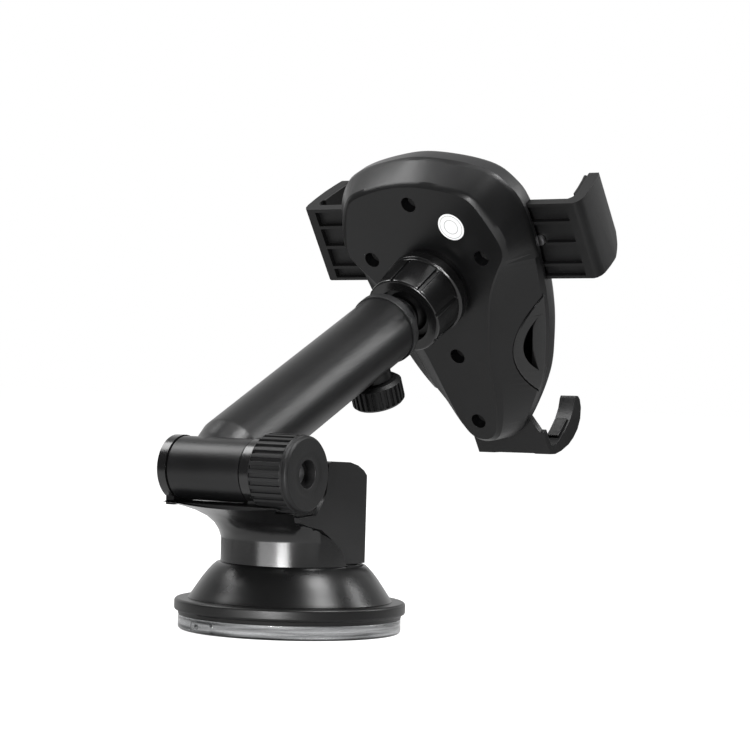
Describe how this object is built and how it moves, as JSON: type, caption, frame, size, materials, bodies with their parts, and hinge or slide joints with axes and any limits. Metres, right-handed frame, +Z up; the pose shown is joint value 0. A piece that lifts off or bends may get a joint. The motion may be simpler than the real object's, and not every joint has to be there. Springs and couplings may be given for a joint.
{
  "type": "phone holder",
  "caption": "Suction-base phone holder: locking lever, tilting telescopic arm, ball joint and a cradle with geared clamp arms and a sliding hooked foot.",
  "frame": {"origin": "centre of the suction pad, on the surface it holds to", "axes": "+Z up from that surface; the arm leans toward +X; the pivot lies along Y with its knob at the -Y end"},
  "size_m": [0.2126, 0.1158, 0.1568],
  "materials": {
    "clear_gel": "clear, smooth",
    "soft_black": "dull",
    "black_plastic": "fine satin grain",
    "glossy_black": "smooth semi-gloss",
    "dark_grey_plastic": "satin",
    "natural_plastic": "plain moulding",
    "steel": "zinc-plated",
    "white_label": "plain white"
  },
  "bodies": {
    "base": {"gel_pad": "clear_gel", "suction_skirt": "soft_black", "base_dome": "glossy_black", "dome_screws": "steel", "neck_housing": "glossy_black", "lever_pin": "steel", "pivot_bolt": "steel", "bolt_nut": "black_plastic"},
    "knob": {"pivot_knob": "black_plastic"},
    "lever": {"lock_lever": "black_plastic"},
    "stem": {"suction_stem": "natural_plastic"},
    "arm": {"outer_tube": "black_plastic", "end_collar": "dark_grey_plastic", "rod_bush": "natural_plastic", "clamp_nut": "steel", "barrel_washers": "natural_plastic", "brake_shoe": "natural_plastic"},
    "thumbscrew": {"lock_thumbscrew": "black_plastic"},
    "rod": {"inner_rod": "dark_grey_plastic", "rod_guide": "natural_plastic", "ball_stem": "black_plastic"},
    "liner": {"ball_liner": "natural_plastic"},
    "seat": {"seat_ring": "natural_plastic"},
    "head": {"socket_cup": "black_plastic", "back_cover": "black_plastic", "front_cover": "dark_grey_plastic", "cover_screws": "steel", "plain_disc": "white_label", "front_pad": "soft_black", "slide_bracket": "natural_plastic"},
    "nut": {"locking_nut": "glossy_black"},
    "right_clamp": {"right_arm": "black_plastic", "right_finger_pad": "soft_black", "right_rivet": "steel"},
    "left_clamp": {"left_arm": "black_plastic", "left_finger_pad": "soft_black", "left_rivet": "steel"},
    "pinion": {"arm_pinion": "natural_plastic"},
    "left_button": {"left_release": "glossy_black"},
    "right_button": {"right_release": "glossy_black"},
    "latch": {"release_latch": "natural_plastic"},
    "foot": {"foot": "black_plastic", "foot_pads": "soft_black"}
  },
  "joints": [
    {"name": "arm_tilt", "type": "hinge", "parent": "base", "child": "arm", "pos_m": [-0.0282, 0, 0.0505], "axis": [0, -1, 0], "range_deg": [-3, 95]},
    {"name": "knob_turn", "type": "hinge", "parent": "base", "child": "knob", "pos_m": [-0.0282, 0, 0.0505], "axis": [0, -1, 0], "range_deg": [-180, 180]},
    {"name": "lever_lift", "type": "hinge", "parent": "base", "child": "lever", "pos_m": [-0.0126, 0, 0.0366], "axis": [0, -1, 0], "range_deg": [0, 20]},
    {"name": "stem_slide", "type": "slide", "parent": "base", "child": "stem", "axis": [0, 0, -1], "range_m": [0, 0.0016]},
    {"name": "thumbscrew_turn", "type": "hinge", "parent": "arm", "child": "thumbscrew", "pos_m": [0.05804, 0.0116, 0.09035], "axis": [0.4195, 0, -0.9078], "range_deg": [-180, 180]},
    {"name": "rod_slide", "type": "slide", "parent": "arm", "child": "rod", "axis": [0.9078, 0, 0.4195], "range_m": [0, 0.062]},
    {"name": "ball_pitch", "type": "hinge", "parent": "rod", "child": "liner", "pos_m": [0.08636, 0.0116, 0.10343], "axis": [0, 1, 0], "range_deg": [-8.5, 8.5]},
    {"name": "ball_yaw", "type": "hinge", "parent": "liner", "child": "seat", "pos_m": [0.08636, 0.0116, 0.10343], "axis": [-0.5207, 0.0418, 0.8527], "range_deg": [-8.5, 8.5]},
    {"name": "head_roll", "type": "hinge", "parent": "seat", "child": "head", "pos_m": [0.08636, 0.0116, 0.10343], "axis": [0.852, -0.0384, 0.5221], "range_deg": [-180, 180]},
    {"name": "nut_turn", "type": "hinge", "parent": "head", "child": "nut", "pos_m": [0.08636, 0.0116, 0.10343], "axis": [0.852, -0.0384, 0.5221], "range_deg": [-90, 90]},
    {"name": "right_clamp_slide", "type": "slide", "parent": "head", "child": "right_clamp", "axis": [0.0546, 0.9984, -0.0157], "range_m": [0, 0.0135]},
    {"name": "left_clamp_slide", "type": "slide", "parent": "head", "child": "left_clamp", "axis": [-0.0546, -0.9984, 0.0157], "range_m": [0, 0.0135]},
    {"name": "pinion_turn", "type": "hinge", "parent": "head", "child": "pinion", "pos_m": [0.09474, 0.01138, 0.11847], "axis": [0.852, -0.0384, 0.5221], "range_deg": [-173, 0]},
    {"name": "left_release_press", "type": "slide", "parent": "head", "child": "left_button", "axis": [-0.0546, -0.9984, 0.0157], "range_m": [0, 0.0012], "stiffness_N_per_m": 900, "springref_m": -0.0006},
    {"name": "right_release_press", "type": "slide", "parent": "head", "child": "right_button", "axis": [0.0546, 0.9984, -0.0157], "range_m": [0, 0.0012], "stiffness_N_per_m": 900, "springref_m": -0.0006},
    {"name": "latch_slide", "type": "slide", "parent": "head", "child": "latch", "axis": [0.5207, -0.0418, -0.8527], "range_m": [0, 0.0012]},
    {"name": "foot_slide", "type": "slide", "parent": "head", "child": "foot", "axis": [0.5207, -0.0418, -0.8527], "range_m": [0, 0.018]}
  ],
  "couplings": [
    {"joint": "stem_slide", "follows": "lever_lift", "m_per_rad": 0.0043},
    {"joint": "left_clamp_slide", "follows": "right_clamp_slide", "ratio": 1},
    {"joint": "pinion_turn", "follows": "right_clamp_slide", "rad_per_m": -222.22},
    {"joint": "latch_slide", "follows": "left_release_press", "ratio": 1}
  ]
}
